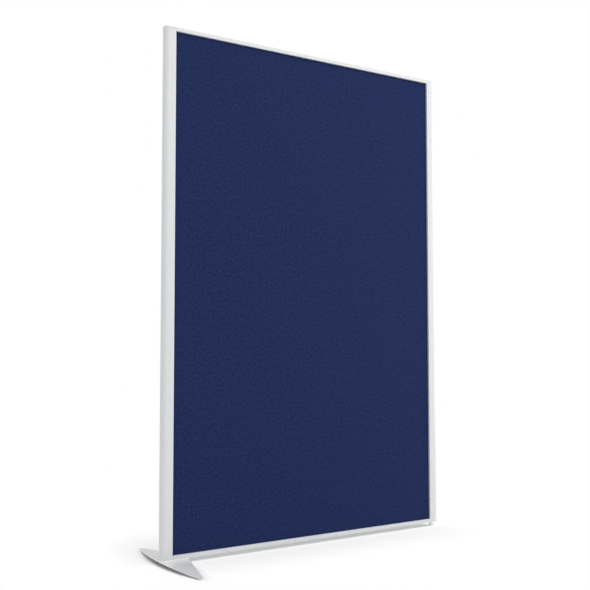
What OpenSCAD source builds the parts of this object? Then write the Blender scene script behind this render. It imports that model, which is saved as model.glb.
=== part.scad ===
// Free-standing acoustic divider screen: a fabric panel in an aluminium frame,
// carried by a boat-shaped foot plate at the left end and a levelling glide at
// the right end. X runs along the screen, Y from front to back, Z up. The
// origin is the middle of the whole screen's box, on the floor.

/* [Screen] */
// Overall width over the two posts
screen_w = 1200; // [700:50:1800]
// Overall height above the floor
screen_h = 1800; // [1000:50:2200]
// Depth of the frame from front to back
frame_d = 34; // [32:1:44]

/* [Post] */
// Flat part of a post's face, before its half-round outer side
post_flat = 24; // [22:1:34]
// Wall of a post
post_wall = 2; // [1.5:0.1:2.4]
// Distance of the corner thread from the post's inner edge
thread_x = 18; // [17:0.5:20]

/* [Rail] */
// Outer wall of a rail
rail_wall = 1.8; // [1.4:0.1:3]

/* [Panel groove] */
// Depth of the groove that holds the panel's edge
groove_depth = 6; // [5:0.5:7]
// Wall round the groove
groove_wall = 2; // [1.8:0.1:2.4]
// Clearance on each face of the panel in its groove
panel_gap = 0.2; // [0.1:0.05:0.4]

/* [Panel] */
// Thickness of the dense core board
core_t = 10; // [8:0.5:11]
// Thickness of each layer of sound-absorbing felt
felt_t = 3; // [2:0.5:3.5]
// Thickness of each stretched fabric cover
fabric_t = 1; // [0.6:0.1:1.2]
// Thickness of the edge seal between panel and groove
seal_t = 1.7; // [1:0.1:2.5]

/* [Corner bracket] */
// Height of the block inside the post
block_h = 40; // [34:1:60]
// Length of the tongue inside the rail
tongue_len = 60; // [56:1:90]
// Thickness of the tongue
tongue_t = 2.8; // [2.4:0.1:4]
// Width of the tongue
tongue_w = 26; // [18:1:26]
// Clearance over and under the tongue
tongue_gap = 0.2; // [0.1:0.05:0.3]
// Clearance round the block in the post
block_gap = 0.15; // [0.1:0.05:0.3]
// Radius of the vertical corner thread
thread_r = 4; // [3:0.5:4]
// Clearance between a screw and its thread
thread_gap = 0.05; // [0.02:0.01:0.1]

/* [Corner screws] */
// Radius of a countersunk corner screw
csk_r = 2; // [1.5:0.1:2.2]
// Radius of its head
csk_head_r = 3.6; // [3:0.1:3.8]
// Depth of its countersink
csk_depth = 1.7; // [1.2:0.1:1.7]
// Length of a screw that goes into the block
post_screw_len = 8; // [6:0.5:9]
// Distance of the two block screws from the middle of the post
post_screw_y = 5; // [4.5:0.1:5.2]
// Height of the block screws above the block's end
post_screw_z = 22; // [16:1:30]
// Distance of the first tongue screw from the rail's end
rail_screw_near = 12; // [8:1:14]
// Distance of the second tongue screw from the rail's end
rail_screw_far = 46; // [36:1:50]

/* [Post cap] */
// Length of the cap's pin
cap_pin_len = 10; // [6:1:20]

/* [Foot plate] */
// Length of the foot from front tip to back tip
foot_len = 470; // [360:10:600]
// Reach of the foot outside the post
foot_out = 5.5; // [3:0.5:12]
// Reach of the foot inwards from the post's outer face
foot_in = 99.5; // [90:0.5:130]
// Radius of the foot's outer edge
foot_outer_r = 800; // [750:50:2000]
// Radius of the rounded tips
foot_tip_r = 10; // [9:1:14]
// Thickness of the plate
foot_t = 5; // [4:0.5:8]
// Height of the arched underside above the floor in the middle
foot_clear = 9.5; // [9:0.1:14]
// Height of the plate's underside above the floor at its tips
foot_tip_clear = 0.5; // [0.3:0.1:1]
// Height of the raised seat under the frame
seat_t = 1.5; // [0.5:0.1:2.5]
// Width of the seat's rim round the frame
seat_rim = 1.5; // [1:0.1:3]
// Depth of the spot faces under the two fixings
spot_t = 0.3; // [0.2:0.1:0.8]

/* [Foot pads] */
// Radius of a rubber foot pad
pad_r = 7; // [5:0.5:8]
// Thickness of a rubber foot pad
pad_t = 3.2; // [2.8:0.1:4]
// Distance of a pad from the foot's tip
pad_inset = 23; // [20:1:40]

/* [Foot fixings] */
// Radius of the washer under the main bolt
bolt_washer_r = 8; // [7:0.5:9]
// Thickness of the washer under the main bolt
bolt_washer_t = 1.6; // [1:0.1:2]
// Radius of the main bolt's head
bolt_head_r = 7; // [6:0.5:7]
// Height of the main bolt's head
bolt_head_t = 4.2; // [3:0.1:4.6]
// Length of the main bolt's shank
bolt_len = 32; // [24:1:44]
// Radius of the tongue bolt
small_bolt_r = 2.5; // [2:0.25:3]
// Distance of the tongue bolt from the post's outer face
small_bolt_x = 68; // [64:1:74]
// Radius of the tongue bolt's washer
small_washer_r = 5; // [4.5:0.5:6]
// Thickness of the tongue bolt's washer
small_washer_t = 1; // [0.8:0.1:1.6]
// Radius of the tongue bolt's head
small_head_r = 4.5; // [4:0.25:4.5]
// Height of the tongue bolt's head
small_head_t = 2.8; // [2:0.1:3.4]
// Clearance of a bolt in a plain hole
hole_gap = 0.4; // [0.2:0.1:0.6]

/* [Levelling glide] */
// Radius of the glide's plastic pad
glide_r = 11; // [9:0.5:12]
// Height of the glide's plastic pad
glide_h = 7; // [5.5:0.5:8]
// Radius of the bevel round the pad
glide_bevel = 1.2; // [0.5:0.1:2]
// Floor of the socket inside the pad
glide_floor = 2.5; // [1.5:0.1:3.5]
// Radius of the stem's round foot in the socket
ball_r = 5; // [4.5:0.5:6]
// Running clearance of the stem's foot in the socket
ball_gap = 0.08; // [0.04:0.01:0.1]
// Width across flats of the stem's hexagon
hex_af = 13; // [11:1:15]
// Height of the stem's hexagon
hex_h = 4; // [3:0.5:4.5]
// Gap between the pad and the hexagon
hex_gap = 0.3; // [0.2:0.1:0.6]
// Length of thread above the hexagon
stem_len = 36; // [30:1:44]

/* [Hidden] */
$fn = 96;
// Facets of the foot's long arch, which is a very large circle
arch_fn = 1440;
// Steps along each curved stretch of the foot's outline
edge_steps = 16;
// Overrun of every cut past the face that it leaves
overrun = 1;
// Slope angle of the foot's inner edge where it leaves the tip
tip_lean = 7;
// Length over which the inner edge keeps the tip's direction
tip_pull = 76;
// Length over which the inner edge runs straight beside the rail
waist_pull = 32;
// Radius of the lead-in cut round the bottom of the stem's foot
ball_bevel = 0.6;

frame_z = foot_clear + foot_t + seat_t;
post_w = post_flat + frame_d / 2;
centre_x = foot_out / 2;
open_x = screen_w / 2 - post_w;
cap_t = rail_wall + tongue_gap;
post_top = screen_h - cap_t;
chamber_h = tongue_t + 2 * tongue_gap;
rail_h = rail_wall + chamber_h + groove_wall + groove_depth;
panel_t = core_t + 2 * (felt_t + fabric_t);
groove_w = panel_t + 2 * panel_gap;
web_x = groove_depth + groove_wall;
web_z = rail_wall + chamber_h;
panel_x = open_x + groove_depth - seal_t;
panel_low = frame_z + rail_h - groove_depth + seal_t;
panel_high = screen_h - rail_h + groove_depth - seal_t;
foot_half = foot_len / 2;
tip_y = foot_half - foot_tip_r;
outer_cx = foot_outer_r - foot_out;
tip_x = outer_cx - sqrt(pow(foot_outer_r - foot_tip_r, 2) - pow(tip_y, 2));
tip_turn = atan2(tip_y, tip_x - outer_cx);
arch_drop = foot_clear - foot_tip_clear;
arch_r = (pow(foot_half, 2) + pow(arch_drop, 2)) / (2 * arch_drop);
thread_from_face = post_w - thread_x;
tongue_low = rail_wall + tongue_gap;

// Foot outline. Distances run inwards from the post's outer face

// Outer edge: one long arc
function edge_out(y) = outer_cx - sqrt(pow(foot_outer_r, 2) - pow(y, 2));

// Inner edge: a cubic curve from the tip's round end to the waist at the rail
inner_start = [tip_x + foot_tip_r * cos(tip_lean), tip_y + foot_tip_r * sin(tip_lean)];
inner_bend = inner_start + tip_pull * [sin(tip_lean), -cos(tip_lean)];
inner_waist = [foot_in, waist_pull];
inner_end = [foot_in, 0];
function inner_point(t) =
    pow(1 - t, 3) * inner_start + 3 * t * pow(1 - t, 2) * inner_bend
    + 3 * t * t * (1 - t) * inner_waist + pow(t, 3) * inner_end;

// Inner edge's distance at a given y, between the two nearest curve points
function edge_in(y) =
    let (p = [for (i = [0:edge_steps]) inner_point(i / edge_steps)],
         k = [for (i = [0:edge_steps - 1]) if (p[i][1] >= y && p[i + 1][1] <= y) i][0])
    lookup(y, [[p[k + 1][1], p[k + 1][0]], [p[k][1], p[k][0]]]);

// Pads lie midway between the two edges
pad_y = foot_half - pad_inset;
pad_x = (edge_out(pad_y) + edge_in(pad_y)) / 2;

half_outline = concat(
    [for (i = [edge_steps:-1:1]) inner_point(i / edge_steps)],
    [for (i = [0:edge_steps])
        let (a = tip_lean + (tip_turn - tip_lean) * i / edge_steps)
        [tip_x + foot_tip_r * cos(a), tip_y + foot_tip_r * sin(a)]],
    [for (i = [edge_steps - 1:-1:0])
        let (y = foot_outer_r * sin(180 - tip_turn) * i / edge_steps) [edge_out(y), y]]
);
outline = concat(half_outline,
    [for (i = [len(half_outline) - 2:-1:1]) [half_outline[i][0], -half_outline[i][1]]]);

// Places for the corners of the frame

// Right post's own axes: X runs outwards from the post's inner edge
module at_right() {
    translate([centre_x + open_x, 0, 0]) children();
}

module at_left() {
    translate([centre_x - open_x, 0, 0]) mirror([1, 0, 0]) children();
}

// A corner's own axes: Z runs from the frame's end towards the panel
module at_bottom() {
    translate([0, 0, frame_z]) children();
}

module at_top() {
    translate([0, 0, screen_h]) mirror([0, 0, 1]) children();
}

// Left post's outer face, with X running inwards along the floor
module at_foot() {
    translate([centre_x - screen_w / 2, 0, 0]) children();
}

module at_all_corners() {
    at_right() at_bottom() children();
    at_right() at_top() children();
    at_left() at_bottom() children();
    at_left() at_top() children();
}

// Flat-sided outline with a half-round outer end
module d_outline(start, half) {
    translate([start, -half]) square([post_flat - start, 2 * half]);
    translate([post_flat, 0]) circle(r = half);
}

module groove_block(depth, half) {
    translate([-overrun, -half]) square([depth + overrun, 2 * half]);
}

// Extruded hollow section with even walls and one groove for the panel
module post_section() {
    difference() {
        d_outline(0, frame_d / 2);
        difference() {
            d_outline(post_wall, frame_d / 2 - post_wall);
            groove_block(web_x, groove_w / 2 + groove_wall);
        }
        groove_block(groove_depth, groove_w / 2);
    }
}

// Countersunk screw along Z, its flat head at z = 0 and its tip downwards
module csk_screw(length, radius, gap) {
    translate([0, 0, -csk_depth])
        cylinder(r1 = radius + gap, r2 = csk_head_r + gap, h = csk_depth);
    translate([0, 0, -length]) cylinder(r = radius + gap, h = length - csk_depth + gap);
}

// Both screws of one corner's block, seen from the groove
module post_screw_pair(length, gap) {
    for (side = [-1, 1])
        translate([groove_depth, side * post_screw_y, post_screw_z])
            rotate([0, -90, 0]) csk_screw(length, csk_r, gap);
}

// Both screws of one corner's tongue, seen from the groove
module rail_screw_pair(length, gap) {
    for (x = [rail_screw_near, rail_screw_far])
        translate([-x, 0, rail_h - groove_depth]) csk_screw(length, csk_r, gap);
}

// Slot across the post's inner side that lets the tongue through
module tongue_slot() {
    translate([-overrun, -tongue_w / 2 - tongue_gap, -overrun])
        cube([web_x + overrun + block_gap, tongue_w + 2 * tongue_gap, web_z + overrun]);
}

module post() {
    difference() {
        translate([0, 0, frame_z]) linear_extrude(post_top - frame_z) post_section();
        at_bottom() {
            tongue_slot();
            post_screw_pair(post_screw_len, thread_gap);
        }
        at_top() {
            tongue_slot();
            post_screw_pair(post_screw_len, thread_gap);
        }
    }
}

module left_post() {
    color([0.78, 0.79, 0.8]) at_left() post();
}

module right_post() {
    color([0.88, 0.89, 0.9]) at_right() post();
}

// Rail section in Y and height, with height 0 at the frame's outer edge
module rail_section() {
    difference() {
        translate([-frame_d / 2, 0]) square([frame_d, rail_h]);
        difference() {
            translate([-frame_d / 2 + post_wall, rail_wall])
                square([frame_d - 2 * post_wall, rail_h - rail_wall - post_wall]);
            translate([-groove_w / 2 - groove_wall, web_z])
                square([groove_w + 2 * groove_wall, groove_depth + groove_wall]);
        }
        translate([-groove_w / 2, rail_h - groove_depth])
            square([groove_w, groove_depth + overrun]);
    }
}

module rail_bar() {
    difference() {
        translate([-open_x, 0, 0]) rotate([90, 0, 90]) linear_extrude(2 * open_x) rail_section();
        for (side = [0, 1])
            mirror([side, 0, 0]) translate([open_x, 0, 0])
                rail_screw_pair(groove_wall + overrun, thread_gap);
    }
}

module top_rail() {
    color([0.86, 0.87, 0.88]) translate([centre_x, 0, 0]) at_top() rail_bar();
}

// The bottom rail has one plain hole for the tongue bolt
module bottom_rail() {
    color([0.8, 0.81, 0.82]) difference() {
        translate([centre_x, 0, 0]) at_bottom() rail_bar();
        at_foot() translate([small_bolt_x, 0, frame_z - overrun])
            cylinder(r = small_bolt_r + hole_gap, h = rail_wall + 2 * overrun);
    }
}

// Flat cap on the post's end, with a pin that presses into the corner thread
module post_cap() {
    linear_extrude(cap_t) d_outline(0, frame_d / 2);
    translate([thread_x, 0, 0]) cylinder(r = thread_r - thread_gap, h = cap_t + cap_pin_len);
}

module left_post_cap() {
    color([0.76, 0.77, 0.78]) at_left() at_top() post_cap();
}

module right_post_cap() {
    color([0.76, 0.77, 0.78]) at_right() at_top() post_cap();
}

// Cast corner bracket: a block inside the post and a tongue inside the rail
module bracket(end) {
    difference() {
        union() {
            translate([0, 0, end]) linear_extrude(block_h - end)
                d_outline(web_x + block_gap, frame_d / 2 - post_wall - block_gap);
            translate([-tongue_len, -tongue_w / 2, tongue_low])
                cube([tongue_len + post_flat, tongue_w, tongue_t]);
        }
        translate([thread_x, 0, -overrun]) cylinder(r = thread_r, h = block_h + 2 * overrun);
        translate([post_w - small_bolt_x, 0, tongue_low - overrun])
            cylinder(r = small_bolt_r, h = tongue_t + 2 * overrun);
        post_screw_pair(post_screw_len + csk_r, thread_gap);
        rail_screw_pair(web_z + overrun, thread_gap);
    }
}

module top_left_bracket() {
    color([0.55, 0.56, 0.58]) at_left() at_top() bracket(cap_t);
}

module top_right_bracket() {
    color([0.55, 0.56, 0.58]) at_right() at_top() bracket(cap_t);
}

module bottom_left_bracket() {
    color([0.55, 0.56, 0.58]) at_left() at_bottom() bracket(0);
}

module bottom_right_bracket() {
    color([0.55, 0.56, 0.58]) at_right() at_bottom() bracket(0);
}

module post_screws() {
    color([0.65, 0.65, 0.6]) at_all_corners() post_screw_pair(post_screw_len, 0);
}

module rail_screws() {
    color([0.65, 0.65, 0.6]) at_all_corners() rail_screw_pair(groove_wall + tongue_gap + tongue_t, 0);
}

// Edge seals lie on the groove's floor, between it and the panel's edge
module side_seal() {
    translate([groove_depth - seal_t, -panel_t / 2, panel_low])
        cube([seal_t, panel_t, panel_high - panel_low]);
}

module rail_seal() {
    translate([centre_x - open_x, -panel_t / 2, rail_h - groove_depth])
        cube([2 * open_x, panel_t, seal_t]);
}

module left_seal() {
    color([0.12, 0.12, 0.13]) at_left() side_seal();
}

module right_seal() {
    color([0.12, 0.12, 0.13]) at_right() side_seal();
}

module top_seal() {
    color([0.12, 0.12, 0.13]) at_top() rail_seal();
}

module bottom_seal() {
    color([0.12, 0.12, 0.13]) at_bottom() rail_seal();
}

// One layer of the panel, from its front face at y and of thickness t
module layer(y, t) {
    translate([centre_x - panel_x, y, panel_low])
        cube([2 * panel_x, t, panel_high - panel_low]);
}

module core_board() {
    color([0.66, 0.52, 0.36]) layer(-core_t / 2, core_t);
}

module front_felt() {
    color([0.35, 0.36, 0.38]) layer(-core_t / 2 - felt_t, felt_t);
}

module rear_felt() {
    color([0.35, 0.36, 0.38]) layer(core_t / 2, felt_t);
}

module front_fabric() {
    color([0.15, 0.19, 0.34]) layer(-panel_t / 2, fabric_t);
}

module rear_fabric() {
    color([0.15, 0.19, 0.34]) layer(panel_t / 2 - fabric_t, fabric_t);
}

// Curved plate, its underside on one long arch from tip to tip
module arched_plate() {
    intersection() {
        linear_extrude(frame_z) polygon(outline);
        translate([-foot_out - overrun, 0, foot_clear - arch_r]) rotate([0, 90, 0]) difference() {
            cylinder(r = arch_r + foot_t, h = foot_in + foot_out + 2 * overrun, $fn = arch_fn);
            translate([0, 0, -overrun])
                cylinder(r = arch_r, h = foot_in + foot_out + 4 * overrun, $fn = arch_fn);
        }
    }
}

// Raised seat that follows the post's round side and the rail
module seat_outline() {
    seat_half = frame_d / 2 + seat_rim;
    intersection() {
        union() {
            translate([frame_d / 2, 0]) circle(r = seat_half);
            translate([frame_d / 2, -seat_half]) square([foot_in - frame_d / 2, 2 * seat_half]);
        }
        polygon(outline);
    }
}

module foot_plate() {
    color([0.8, 0.81, 0.82]) at_foot() difference() {
        union() {
            arched_plate();
            translate([0, 0, foot_clear + foot_t / 2])
                linear_extrude(foot_t / 2 + seat_t) seat_outline();
        }
        fixing_cut(thread_from_face, thread_r, bolt_washer_r);
        fixing_cut(small_bolt_x, small_bolt_r, small_washer_r);
        for (side = [-1, 1])
            translate([pad_x, side * pad_y, -overrun]) cylinder(r = pad_r + thread_gap, h = pad_t + overrun);
    }
}

// Plain hole with a spot face for the washer underneath
module fixing_cut(x, hole_r, face_r) {
    translate([x, 0, 0]) cylinder(r = hole_r + hole_gap, h = frame_z + overrun);
    translate([x, 0, 0]) cylinder(r = face_r + hole_gap, h = foot_clear + spot_t);
}

module foot_pad(side) {
    color([0.1, 0.1, 0.1]) at_foot() translate([pad_x, side * pad_y, 0]) cylinder(r = pad_r, h = pad_t);
}

module front_foot_pad() {
    foot_pad(-1);
}

module rear_foot_pad() {
    foot_pad(1);
}

module washer(x, hole_r, outer_r, thick) {
    at_foot() translate([x, 0, foot_clear + spot_t - thick]) difference() {
        cylinder(r = outer_r, h = thick);
        translate([0, 0, -overrun]) cylinder(r = hole_r + thread_gap, h = thick + 2 * overrun);
    }
}

module foot_bolt_washer() {
    color([0.7, 0.7, 0.72]) washer(thread_from_face, thread_r, bolt_washer_r, bolt_washer_t);
}

module tongue_bolt_washer() {
    color([0.7, 0.7, 0.72]) washer(small_bolt_x, small_bolt_r, small_washer_r, small_washer_t);
}

// Cap screw with a hexagon socket, head downwards under its washer
module cap_screw(radius, length, head_r, head_t) {
    difference() {
        union() {
            translate([0, 0, -head_t]) cylinder(r = head_r, h = head_t);
            translate([0, 0, -head_t / 2]) cylinder(r = radius - thread_gap, h = length + head_t / 2);
        }
        translate([0, 0, -head_t - overrun]) cylinder(r = radius / 2, h = head_t / 2 + overrun, $fn = 6);
    }
}

module foot_bolt() {
    color([0.6, 0.6, 0.62]) at_foot()
        translate([thread_from_face, 0, foot_clear + spot_t - bolt_washer_t])
            cap_screw(thread_r, bolt_len, bolt_head_r, bolt_head_t);
}

// Its length ends at the top of the tongue
module tongue_bolt() {
    bolt_z = foot_clear + spot_t - small_washer_t;
    color([0.6, 0.6, 0.62]) at_foot() translate([small_bolt_x, 0, bolt_z])
        cap_screw(small_bolt_r, frame_z + tongue_low + tongue_t - bolt_z, small_head_r, small_head_t);
}

// Round plastic pad with a bevelled rim and a socket for the stem's foot
module glide_pad() {
    color([0.85, 0.85, 0.84]) at_right() translate([thread_x, 0, 0]) rotate_extrude()
        polygon([
            [0, 0], [glide_r - glide_bevel, 0], [glide_r, glide_bevel],
            [glide_r, glide_h - glide_bevel], [glide_r - glide_bevel, glide_h],
            [ball_r + ball_gap, glide_h], [ball_r + ball_gap, glide_floor], [0, glide_floor]
        ]);
}

// Threaded stem with a hexagon, standing in the pad's socket
module glide_stem() {
    hex_z = glide_h + hex_gap;
    color([0.72, 0.73, 0.75]) at_right() translate([thread_x, 0, 0]) {
        translate([0, 0, glide_floor]) cylinder(r1 = ball_r - ball_bevel, r2 = ball_r, h = ball_bevel);
        translate([0, 0, glide_floor + ball_bevel])
            cylinder(r = ball_r, h = hex_z - glide_floor - ball_bevel);
        translate([0, 0, hex_z]) cylinder(r = hex_af / sqrt(3), h = hex_h, $fn = 6);
        translate([0, 0, hex_z + hex_h / 2]) cylinder(r = thread_r - thread_gap, h = hex_h / 2 + stem_len);
    }
}

left_post();
right_post();
top_rail();
bottom_rail();
left_post_cap();
right_post_cap();
top_left_bracket();
top_right_bracket();
bottom_left_bracket();
bottom_right_bracket();
post_screws();
rail_screws();
left_seal();
right_seal();
top_seal();
bottom_seal();
core_board();
front_felt();
rear_felt();
front_fabric();
rear_fabric();
foot_plate();
front_foot_pad();
rear_foot_pad();
foot_bolt();
foot_bolt_washer();
tongue_bolt();
tongue_bolt_washer();
glide_pad();
glide_stem();
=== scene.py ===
import math

import bpy
import numpy as np
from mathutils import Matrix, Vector
from mathutils.geometry import tessellate_polygon


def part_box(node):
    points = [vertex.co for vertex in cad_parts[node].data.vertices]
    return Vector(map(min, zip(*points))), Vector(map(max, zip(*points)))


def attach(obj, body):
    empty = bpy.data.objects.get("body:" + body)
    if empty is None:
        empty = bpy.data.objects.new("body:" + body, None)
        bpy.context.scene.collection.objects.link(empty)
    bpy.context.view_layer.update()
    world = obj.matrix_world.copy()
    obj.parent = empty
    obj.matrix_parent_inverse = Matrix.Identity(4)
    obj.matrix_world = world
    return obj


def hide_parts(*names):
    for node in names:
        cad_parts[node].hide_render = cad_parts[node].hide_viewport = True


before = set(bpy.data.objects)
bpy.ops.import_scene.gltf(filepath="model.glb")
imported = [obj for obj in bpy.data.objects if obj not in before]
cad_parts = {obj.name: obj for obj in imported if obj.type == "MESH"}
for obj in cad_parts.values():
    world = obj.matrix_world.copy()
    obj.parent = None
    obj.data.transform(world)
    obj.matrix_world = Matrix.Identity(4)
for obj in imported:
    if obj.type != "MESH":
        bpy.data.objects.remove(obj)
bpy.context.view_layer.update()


# Posts
# The two uprights are aluminium extrusions, drawn in one piece with a flat front and back,
# a half-round outer side, a hollow chamber and a groove for the panel's edge. They are sawn
# to length, their edges are eased and they are anodised to a satin silver.

MM = 0.001
post_low, post_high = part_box("left_post")
right_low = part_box("right_post")[0]
post_width = post_high.x - post_low.x
half_depth = (post_high.y - post_low.y) / 2
post_wall = 2.0 * MM
groove_depth = 6.0 * MM
groove_wall = 2.0 * MM
groove_half = 9.2 * MM
lip_ease = 0.9 * MM
inner_ease = 0.25 * MM
saw_ease = 0.3 * MM
saw_steps = 4
fine_radius = 2 * MM
fine_steps, round_steps = 4, 28
crease = math.radians(35)


def rounded_outline(corners):
    """Closed outline through corners (across, up, radius), anticlockwise: each corner is an arc
    that touches both its sides, with its centre on the line that halves the corner's angle."""
    places = np.array([corner[:2] for corner in corners], float)
    stretches = []
    for k, (_, _, radius) in enumerate(corners):
        here = places[k]
        back = places[k - 1] - here
        ahead = places[(k + 1) % len(places)] - here
        back /= np.linalg.norm(back)
        ahead /= np.linalg.norm(ahead)
        half = math.acos(np.clip(back @ ahead, -1, 1)) / 2
        middle = (back + ahead) / np.linalg.norm(back + ahead)
        centre = here + middle * radius / math.sin(half)
        start = here + back * radius / math.tan(half) - centre
        end = here + ahead * radius / math.tan(half) - centre
        sweep = math.pi - 2 * half
        steps = fine_steps if radius < fine_radius else round_steps
        t = np.linspace(0, 1, steps + 1)[:, None]
        arc = np.sin((1 - t) * sweep) * start + np.sin(t * sweep) * end
        stretches.append(centre + arc / math.sin(sweep))
    return np.concatenate(stretches)


def outline_normals(outline):
    """Unit vectors square to a closed outline, pointing to its right, which is outwards where
    the outline runs anticlockwise."""
    along = np.roll(outline, -1, axis=0) - np.roll(outline, 1, axis=0)
    square = np.stack([along[:, 1], -along[:, 0]], axis=1)
    return square / np.linalg.norm(square, axis=1, keepdims=True)


def drawn_in(outline, inset, height):
    """Rings of an outline, one at each height, drawn in along its normals by that inset."""
    rings = outline[None] - inset[:, None, None] * outline_normals(outline)[None]
    heights = np.broadcast_to(height[:, None, None], rings.shape[:2] + (1,))
    return np.concatenate([rings, heights], axis=2).reshape(-1, 3)


def ring_faces(rings, around, first=0):
    """Quads between neighbouring rings of a tube, each ring a closed loop of as many points."""
    ring, point = np.meshgrid(np.arange(rings - 1), np.arange(around), indexing="ij")
    here = first + ring * around + point
    beside = first + ring * around + (point + 1) % around
    return np.stack([here, beside, beside + around, here + around], axis=-1).reshape(-1, 4)


def outward(faces, mirrored):
    """Faces as they are, or turned round where the points were mirrored."""
    return [face[::-1] for face in faces] if mirrored else faces


def sawn_bar(outlines, low, high, place):
    """Hollow bar with sawn and eased ends. Each outline, the outer one first and then the
    chambers, runs from low to high, drawn in towards the metal by a quarter circle at both
    ends. place turns (across, up, along) into a point of the frame."""
    turn = np.linspace(0, math.pi / 2, saw_steps)
    rise, run = saw_ease * (1 - np.cos(turn)), saw_ease * (1 - np.sin(turn))
    inset = np.concatenate([run, rise])
    along = np.concatenate([low + rise, high - run])
    rings = len(along)
    points, faces, firsts = [], [], [0]
    for k, outline in enumerate(outlines):
        points.append(drawn_in(outline, inset if k == 0 else -inset, along))
        quads = ring_faces(rings, len(outline), firsts[-1])
        faces.extend(quads if k == 0 else quads[:, ::-1])
        firsts.append(firsts[-1] + rings * len(outline))
    points = np.concatenate(points)
    for ring in (0, rings - 1):
        loops = [
            first + ring * len(outline) + np.arange(len(outline))
            for outline, first in zip(outlines, firsts)
        ]
        flat = [(points[loop] * (1, 1, 0)).tolist() for loop in loops]
        triangles = np.concatenate(loops)[np.array(tessellate_polygon(flat))]
        a, b, c = np.moveaxis(points[triangles, :2], 1, 0)
        upwards = (b - a)[:, 0] * (c - a)[:, 1] - (b - a)[:, 1] * (c - a)[:, 0] > 0
        inwards = upwards != (ring > 0)
        triangles[inwards] = triangles[inwards, ::-1]
        faces.extend(triangles)
    return place(points), faces


def new_mesh(name, points, faces):
    """Mesh of points, a row each, and faces, each an array of its points' numbers."""
    mesh = bpy.data.meshes.new(name)
    mesh.from_pydata(points.tolist(), [], [face.tolist() for face in faces])
    return mesh


def new_object(name, data):
    """Object of this data in the scene."""
    made = bpy.data.objects.new(name, data)
    bpy.context.scene.collection.objects.link(made)
    return made


def new_piece(name, points, faces, body, material):
    """Piece with its place in its mesh. Edges under the crease's angle are shaded round, and
    flat faces keep their own direction."""
    mesh = new_mesh(name, points, faces)
    mesh.validate()
    mesh.polygons.foreach_set("use_smooth", np.ones(len(mesh.polygons), bool))
    mesh.set_sharp_from_angle(angle=crease)
    piece = new_object(name, mesh)
    weighted = piece.modifiers.new("flat faces", "WEIGHTED_NORMAL")
    weighted.keep_sharp = True
    mesh.materials.append(material)
    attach(piece, body)
    return piece


def place_node(tree, kind, inputs=None, **settings):
    """Shader node with its settings, its inputs linked or given a value."""
    made = tree.nodes.new("ShaderNode" + kind)
    for setting, value in settings.items():
        setattr(made, setting, value)
    for socket, value in (inputs or {}).items():
        if isinstance(value, bpy.types.NodeSocket):
            tree.links.new(value, made.inputs[socket])
        else:
            made.inputs[socket].default_value = value
    return made


def sum_of(tree, how, *values):
    """Result of one sum on values or sockets."""
    inputs = dict(enumerate(values))
    return place_node(tree, "Math", inputs, operation=how).outputs[0]


def mixed(tree, first, share, second):
    """The first value by its share, and the second by what is left of 1."""
    rest = sum_of(tree, "MULTIPLY", second, 1 - share)
    return sum_of(tree, "MULTIPLY_ADD", first, share, rest)


def blended(tree, share, low, high):
    """Colour between low and high by share. Both may be colours or sockets."""
    low, high = [(*end, 1) if isinstance(end, tuple) else end for end in (low, high)]
    inputs = {"Factor": share, 6: low, 7: high}
    return place_node(tree, "Mix", inputs, data_type="RGBA").outputs[2]


def between(tree, value, low, high, start=0.0, end=1.0):
    """Value that goes from low to high while the given one goes from start to end."""
    inputs = {"Value": value, "From Min": start, "From Max": end, "To Min": low, "To Max": high}
    return place_node(tree, "MapRange", inputs).outputs[0]


def scaled(tree, vector, by):
    """Colour or vector times a value."""
    return place_node(tree, "VectorMath", {0: vector, 3: by}, operation="SCALE").outputs[0]


def relief(tree, height, depth):
    """Normal that a height from 0 to 1 gives, at a depth in metres."""
    inputs = {"Height": height, "Distance": depth, "Strength": 1.0}
    return place_node(tree, "Bump", inputs).outputs[0]


def new_finish(name, **sockets):
    """Material whose shader has these sockets set. Returns it with its tree and its shader."""
    material = bpy.data.materials.new(name)
    material.use_nodes = True
    shader = material.node_tree.nodes["Principled BSDF"]
    for socket, value in sockets.items():
        shader.inputs[socket.replace("_", " ")].default_value = value
    return material, material.node_tree, shader


def join(tree, shader, **sockets):
    """Links values that change over the surface to the shader."""
    for socket, value in sockets.items():
        tree.links.new(value, shader.inputs[socket.replace("_", " ")])


def object_place(tree, stretch=(1, 1, 1)):
    """Object coordinates, stretched along the axes."""
    here = place_node(tree, "TexCoord").outputs["Object"]
    return place_node(tree, "Mapping", {"Vector": here, "Scale": stretch}).outputs[0]


def new_group(name, inputs, outputs):
    """Empty shader group with named sockets. Returns it with its input and output nodes."""
    group = bpy.data.node_groups.new(name, "ShaderNodeTree")
    for socket, kind in inputs:
        group.interface.new_socket(socket, in_out="INPUT", socket_type=kind)
    for socket in outputs:
        group.interface.new_socket(socket, in_out="OUTPUT", socket_type="NodeSocketFloat")
    return group, group.nodes.new("NodeGroupInput"), group.nodes.new("NodeGroupOutput")


def noise(tree, place, scale=1.0, detail=2.0, rough=0.5):
    """Noise from 0 to 1, with scale lumps for each unit of place."""
    inputs = {"Vector": place, "Scale": scale, "Detail": detail, "Roughness": rough}
    return place_node(tree, "TexNoise", inputs).outputs[0]


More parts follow.
